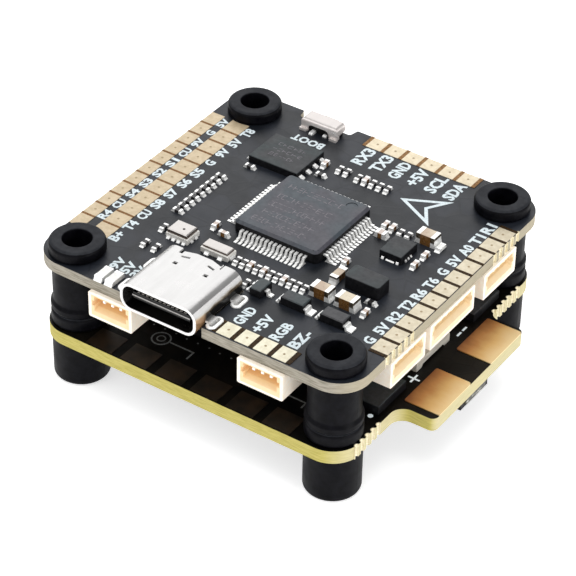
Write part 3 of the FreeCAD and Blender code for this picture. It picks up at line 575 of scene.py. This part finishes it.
def paint_frame():
    """Gives every CAD node the finish of its material slot, with a few finer choices."""
    made = {
        "solder_mask": laminate("solder_mask", (0.008, 0.010, 0.014), (0.0165, 0.0195, 0.027),
                                (0.22, 0.20, 0.155), (0.40, 0.365, 0.30), (0.42, 0.37, 0.265), 0.40, 0.3),
        "esc_laminate": laminate("esc_laminate", (0.002, 0.002, 0.002), (0.005, 0.004, 0.003),
                                 (0.44, 0.38, 0.09), (0.57, 0.50, 0.155), (0.63, 0.565, 0.325), 0.36, 0.12),
        "silicone": silicone(), "copper_pads": copper_pads(),
        "package_black": moulded_black("package_black", (0.022, 0.023, 0.026), (0.034, 0.036, 0.040)),
        "tin": tin(), "contact_gold": contact_gold(),
        "steel_shell": steel("steel_shell", (0.53, 0.505, 0.485), (0.13, 0.10, 0.085), 0.75).material,
        "ceramic_tan": ceramic_tan("ceramic_tan", (0.50, 0.38, 0.28), (0.70, 0.61, 0.46)),
        "ceramic_base": ceramic_base(),
        "resistor_dark": resistor_dark(), "light_white": light_white(),
        "plug_black": plug_black(), "shunt_metal": shunt_metal(), "switch_cream": switch_cream(),
    }
    made["fc_edge_plating"] = made["esc_edge_plating"] = edge_gold()
    made["mcu_body"] = moulded_black("mcu_black", (0.046, 0.045, 0.058), (0.065, 0.064, 0.080), 0.5)
    made["diode_bodies"] = made["regulator_body"] = moulded_black(
        "package_grey", (0.038, 0.038, 0.042), (0.054, 0.054, 0.059), 0.42)
    made["usb_contacts"] = speckled("contact_bright", (0.86, 0.80, 0.70), (0.96, 0.93, 0.87), 0.3, 0.4,
                                    grain=0.15 * MM, relief=0.002 * MM).material
    made["esc_part_ends"] = esc_tin()
    made["chip_ends"] = chip_end_tin()
    made["small_capacitor_bodies"] = ceramic_tan("ceramic_small", (0.54, 0.44, 0.39), (0.70, 0.61, 0.56))
    made["usb_shell"] = usb_steel()
    made["usb_midplate"] = steel("dull_steel", (0.22, 0.21, 0.20), (0.30, 0.29, 0.28)).material
    made["boot_switch_cover"] = steel("switch_steel", (0.62, 0.58, 0.56), (0.86, 0.80, 0.77), 0.45).material
    for node, tone in (("left_pads", (0.61, 0.495, 0.33)), ("right_pads", (0.69, 0.615, 0.465)),
                       ("back_pads", (0.79, 0.69, 0.505)), ("front_pads", (0.83, 0.79, 0.62))):
        made[node] = gold_pads("gold_" + node, *tone)
    made["esc_motor_pads"] = speckled("copper_dark", (0.006, 0.004, 0.002), (0.024, 0.013, 0.006), 0.4, 0.1,
                                      grain=1.2 * MM, relief=0.002 * MM).material
    for row in frame["record"]["subparts"]:
        node, slot = row["node"], row["material_slot"]
        finish = socket_nylon(node) if slot == "socket_ivory" else made.get(node, made.get(slot))
        paint(frame["nodes"][node], finish)


# ---- mesh helpers ------------------------------------------------------------------

def piece(name, form, material, body):
    """Turns a bmesh into a named piece that rides on a body."""
    mesh = bpy.data.meshes.new(name)
    bmesh.ops.recalc_face_normals(form, faces=form.faces)
    form.to_mesh(mesh)
    form.free()
    obj = bpy.data.objects.new(name, mesh)
    bpy.context.scene.collection.objects.link(obj)
    paint(obj, material)
    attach(obj, body)


def slab(form, outline, z0, z1):
    """Adds a prism on a flat outline of (x, y) points."""
    low = [form.verts.new((x, y, z0)) for x, y in outline]
    high = [form.verts.new((x, y, z1)) for x, y in outline]
    form.faces.new(high)
    form.faces.new(low[::-1])
    for i in range(len(outline)):
        j = (i + 1) % len(outline)
        form.faces.new((low[i], low[j], high[j], high[i]))


def ring(form, inner, outer, z0, z1):
    """Adds a closed band between two outlines with the same number of points."""
    count = len(inner)
    loops = [[form.verts.new((x, y, z)) for x, y in line]
             for line, z in ((inner, z0), (outer, z0), (outer, z1), (inner, z1))]
    for a, b in zip(loops, loops[1:] + loops[:1]):
        for i in range(count):
            j = (i + 1) % count
            form.faces.new((a[i], a[j], b[j], b[i]))


def circle(x, y, r, count=16):
    """Outline of a round spot."""
    return [(x + r * math.cos(2 * math.pi * i / count), y + r * math.sin(2 * math.pi * i / count))
            for i in range(count)]


def oblong(x0, x1, y0, y1):
    """Outline of a rectangle."""
    return [(x0, y0), (x1, y0), (x1, y1), (x0, y1)]


def offset(outline, distance):
    """Outline moved inwards by distance, with mitred corners. Points run anticlockwise."""
    moved = []
    for i, point in enumerate(outline):
        here = Vector(point)
        back = (here - Vector(outline[i - 1])).normalized()
        ahead = (Vector(outline[(i + 1) % len(outline)]) - here).normalized()
        side_a, side_b = Vector((-back.y, back.x)), Vector((-ahead.y, ahead.x))
        middle = (side_a + side_b).normalized()
        moved.append(tuple(here + middle * (distance / middle.dot(side_a))))
    return moved


def lettering(form, text, x, y, z, length, height, angle=90.0):
    """Adds raised generic lettering, fitted to length by height and centred on (x, y)."""
    curve = bpy.data.curves.new("lettering", "FONT")
    curve.body = text
    curve.resolution_u = 2
    curve.offset = 0.04
    curve.extrude = 0.5
    holder = bpy.data.objects.new("lettering", curve)
    bpy.context.scene.collection.objects.link(holder)
    bpy.context.view_layer.update()
    mesh = bpy.data.meshes.new_from_object(holder)
    xs = [v.co.x for v in mesh.vertices]
    ys = [v.co.y for v in mesh.vertices]
    centre = Vector(((min(xs) + max(xs)) / 2, (min(ys) + max(ys)) / 2, 0))
    fit = Matrix.Diagonal((length / (max(xs) - min(xs)), height / (max(ys) - min(ys)), INK, 1))
    place = Matrix.Translation((x, y, z)) @ Matrix.Rotation(math.radians(angle), 4, "Z")
    mesh.transform(place @ fit @ Matrix.Translation(-centre))
    form.from_mesh(mesh)
    bpy.data.meshes.remove(mesh)
    bpy.data.objects.remove(holder)
    bpy.data.curves.remove(curve)


# ---- printed ink --------------------------------------------------------------------

def spaced(node, count, axis, width):
    """Centres of the pads in a row, from the most negative to the most positive."""
    low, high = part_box(node)
    first, last = low[axis] + width / 2, high[axis] - width / 2
    return [first + (last - first) * i / (count - 1) for i in range(count)]


RIGHT_NAMES = ["G", "5V", "R2", "T2", "R6", "T6", "G", "5V", "A0", "T1", "R1"]
BACK_NAMES = ["RX3", "TX3", "GND", "+5V", "SCL", "SDA"]
FRONT_NAMES = ["GND", "+5V", "RGB", "BZ-"]
OUTER_NAMES = ["", "R4", "CU", "S4", "S3", "S2", "S1", "CU", "9V", "G", "5V"]
INNER_NAMES = ["B+", "T4", "CU", "S8", "S7", "S6", "S5", "G", "9V", "5V", "T8"]
RIGHT_Y = spaced("right_pads", len(RIGHT_NAMES), 1, 1.8 * MM)
BACK_X = spaced("back_pads", len(BACK_NAMES), 0, 1.78 * MM)
FRONT_X = spaced("front_pads", len(FRONT_NAMES), 0, 1.6 * MM)
LEFT_LAST_Y, LEFT_PITCH = 11.43 * MM, 2.26 * MM
LEFT_Y = [LEFT_LAST_Y - LEFT_PITCH * i for i in reversed(range(len(INNER_NAMES)))]

# Length of a label by its number of letters, and the height of its letters.
RIGHT_LENGTH, RIGHT_LETTER = {1: 1.0 * MM, 2: 1.75 * MM}, 1.2 * MM
LEFT_LENGTH, OUTER_LETTER, INNER_LETTER = {1: 0.9 * MM, 2: 1.65 * MM}, 0.98 * MM, 1.15 * MM
BACK_LENGTH, BACK_LETTER = 3.15 * MM, 1.42 * MM
FRONT_LENGTH, FRONT_LETTER = 2.85 * MM, 1.22 * MM

# Middle lines of the rows of labels.
RIGHT_INK_X, BACK_INK_Y, FRONT_INK_Y = 16.08 * MM, 14.75 * MM, -14.5 * MM
OUTER_INK_X, INNER_INK_X = -16.63 * MM, -13.4 * MM
ARROW_LINE = 0.36 * MM

# Half widths of the bare strips between pads, and the radius of the filled vias.
RIGHT_GAP, FRONT_GAP, BACK_GAP = 0.195 * MM, 0.25 * MM, 0.2 * MM
VIA_R = 0.13 * MM


def fc_ink(material):
    """Pin labels, the word at the boot switch, the supply labels and the flight arrow."""
    form = bmesh.new()
    z = FC_TOP + MASK_GAP + INK / 2
    for y, name in zip(RIGHT_Y, RIGHT_NAMES):
        lettering(form, name, RIGHT_INK_X, y + 0.05 * MM, z, RIGHT_LENGTH[len(name)], RIGHT_LETTER)
    for x, name in zip(BACK_X, BACK_NAMES):
        lettering(form, name, x, BACK_INK_Y, z, BACK_LENGTH, BACK_LETTER)
    for x, name in zip(FRONT_X, FRONT_NAMES):
        lettering(form, name, x - 0.03 * MM, FRONT_INK_Y, z, FRONT_LENGTH, FRONT_LETTER)
    for y, outer, inner in zip(LEFT_Y, OUTER_NAMES, INNER_NAMES):
        if outer:
            lettering(form, outer, OUTER_INK_X, y - 0.1 * MM, z, LEFT_LENGTH[len(outer)], OUTER_LETTER)
        lettering(form, inner, INNER_INK_X, y - 0.15 * MM, z, LEFT_LENGTH[len(inner)], INNER_LETTER)
    lettering(form, "BOOT", -7.38 * MM, 13.68 * MM, z, 3.8 * MM, 1.15 * MM, 180)
    for x, name in ((-10.58, "9V"), (-9.28, "5V"), (-8.05, "3V")):
        lettering(form, name, x * MM, -14.82 * MM, z, 1.95 * MM, 1.08 * MM)
    tip, notch, tail, half = (6.0, 10.6), (9.3, 10.6), 10.9, 2.5
    arrow = [(x * MM, y * MM) for x, y in
             (tip, (tail, tip[1] - half), notch, (tail, tip[1] + half))]
    ring(form, offset(arrow, ARROW_LINE), arrow, z - INK / 2, z + INK / 2)
    piece("fc_lettering", form, material, FC)


def esc_ink(material):
    """Polarity marks beside the battery pads and a dot at the front corner."""
    form = bmesh.new()
    z0, z1 = ESC_TOP + MASK_GAP, ESC_TOP + MASK_GAP + INK
    plus_x, plus_y, arm, stroke = 17.4 * MM, -4.3 * MM, 0.66 * MM, 0.11 * MM
    slab(form, oblong(plus_x - arm, plus_x + arm, plus_y - stroke, plus_y + stroke), z0, z1)
    for y0, y1 in ((stroke, arm), (-arm, -stroke)):
        slab(form, oblong(plus_x - stroke, plus_x + stroke, plus_y + y0, plus_y + y1), z0, z1)
    for dash in (3.9 * MM, 4.95 * MM):
        slab(form, oblong(17.25 * MM, 17.48 * MM, dash, dash + 0.75 * MM), z0, z1)
    slab(form, circle(16.98 * MM, -11.5 * MM, 0.28 * MM), z0, z1)
    piece("esc_lettering", form, material, ESC)


def esc_outlines(material):
    """Fainter print at the front of the lower board: a ringed mark, two bracket lines and dots."""
    form = bmesh.new()
    z0, z1 = ESC_TOP + MASK_GAP, ESC_TOP + MASK_GAP + INK
    x, y, stroke = -6.45 * MM, -13.5 * MM, 0.09 * MM
    for inner, outer, count in ((0.88 * MM, 1.05 * MM, 40), (0.36 * MM, 0.5 * MM, 24)):
        ring(form, circle(x, y, inner, count), circle(x, y, outer, count), z0, z1)
    for left, right, drop in ((-5.35, -2.4, 1.1), (8.9, 11.0, 0.8)):
        slab(form, oblong(left * MM, right * MM, y - stroke, y + stroke), z0, z1)
        slab(form, oblong(right * MM - 2 * stroke, right * MM, y - stroke - drop * MM, y - stroke), z0, z1)
    for i in range(9):
        slab(form, circle((-8.4 + 1.35 * i) * MM, (-12.1 + 0.05 * (i % 3)) * MM, 0.11 * MM, 10), z0, z1)
    piece("esc_outlines", form, material, ESC)


# ---- board details ------------------------------------------------------------------------

def between(row):
    """Places halfway between neighbours in an even row, and half a pitch past each end."""
    pitch = row[1] - row[0]
    return [row[0] + (i - 0.5) * pitch for i in range(len(row) + 1)]


def pad_gaps(dark, brown, tan):
    """Strips of bare, flux-stained laminate between neighbouring pads, lapping their edges."""
    z0, z1 = FC_TOP + MASK_GAP, PAD_TOP + 0.004 * MM
    edge_x, edge_y = 18.78 * MM, 18.38 * MM     # just inside the board's right and back edges
    form = bmesh.new()
    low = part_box("right_pads")[0]
    for y in between(RIGHT_Y):
        slab(form, oblong(low.x, edge_x, y - RIGHT_GAP, y + RIGHT_GAP), z0, z1)
    low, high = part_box("front_pads")
    for x in between(FRONT_X):
        slab(form, oblong(x - FRONT_GAP, x + FRONT_GAP, low.y, high.y), z0, z1)
    piece("pad_gaps_dark", form, dark, FC)
    form = bmesh.new()
    for place in LEFT_Y[1:]:
        y = place - LEFT_PITCH / 2
        slab(form, oblong(-edge_x, -17.16 * MM, y - 0.17 * MM, y + 0.13 * MM), z0, z1)
        slab(form, oblong(-16.09 * MM, -14.01 * MM, y - 0.17 * MM, y + 0.13 * MM), z0, z1)
    piece("pad_gaps_brown", form, brown, FC)
    form = bmesh.new()
    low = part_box("back_pads")[0]
    for x in between(BACK_X):
        slab(form, oblong(x - BACK_GAP, x + BACK_GAP, low.y, edge_y), z0, z1)
    piece("pad_gaps_tan", form, tan, FC)


def pad_vias(material):
    """A filled via in the middle of each pad."""
    form = bmesh.new()
    z0, z1 = PAD_TOP + 0.002 * MM, PAD_TOP + 0.01 * MM
    places = [(17.75 * MM, y) for y in RIGHT_Y]
    places += [(x, -17.2 * MM) for x in FRONT_X] + [(x, 17.45 * MM) for x in BACK_X]
    places += [(x * MM, y) for x in (-17.95, -15.05) for y in LEFT_Y[1:-1]]
    for x, y in places:
        slab(form, circle(x, y, VIA_R, 12), z0, z1)
    piece("pad_vias", form, material, FC)


def stroke_rows(form, dice, x0, x1, lines, top, height, stroke):
    """Rows of short plain strokes from x0 to x1, one row about each Y in lines."""
    z0, z1 = top + 0.002 * MM, top + 0.006 * MM
    for y in lines:
        x = x0 + dice.uniform(0, 0.6) * MM
        while x < x1 - 0.5 * MM:
            wide = dice.uniform(0.22, 0.5) * MM
            parts = dice.choice((1, 2, 2, 3))
            for k in range(parts):
                at = y - height / 2 + height * k / (parts - 1) if parts > 1 else y
                slab(form, oblong(x, x + wide, at - stroke / 2, at + stroke / 2), z0, z1)
            if dice.random() < 0.6:
                slab(form, oblong(x - stroke, x, y - height / 2, y + height / 2), z0, z1)
            x += wide + dice.uniform(0.15, 0.3) * MM


def chip_marks(material):
    """Strokes in place of the laser marking on the processor and the flash chip."""
    dice = random.Random(11)
    form = bmesh.new()
    low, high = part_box("mcu_body")
    lines = [low.y + v * MM for v in (1.5, 3.0, 4.5, 6.0, 8.0)]
    stroke_rows(form, dice, low.x + 1.1 * MM, high.x - 1.8 * MM, lines, high.z, 0.7 * MM, 0.09 * MM)
    low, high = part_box("flash_body")
    lines = [low.y + v * MM for v in (1.6, 2.6, 3.6)]
    stroke_rows(form, dice, low.x + 0.9 * MM, high.x - 0.9 * MM, lines, high.z, 0.45 * MM, 0.06 * MM)
    piece("chip_marks", form, material, FC)


make_camera()
make_studio()
make_floor()
paint_frame()
fc_ink(ink_white())
esc_ink(ink_white("ink_bright", 0.3))
esc_outlines(ink_faint())
pad_gaps(bare_gap("bare_gap_dark", (0.015, 0.008, 0.003), (0.060, 0.033, 0.012)),
         bare_gap("bare_gap_brown", (0.13, 0.060, 0.020), (0.31, 0.165, 0.068)),
         bare_gap("bare_gap_tan", (0.16, 0.077, 0.026), (0.38, 0.21, 0.09)))
pad_vias(via_dark())
chip_marks(laser_mark())
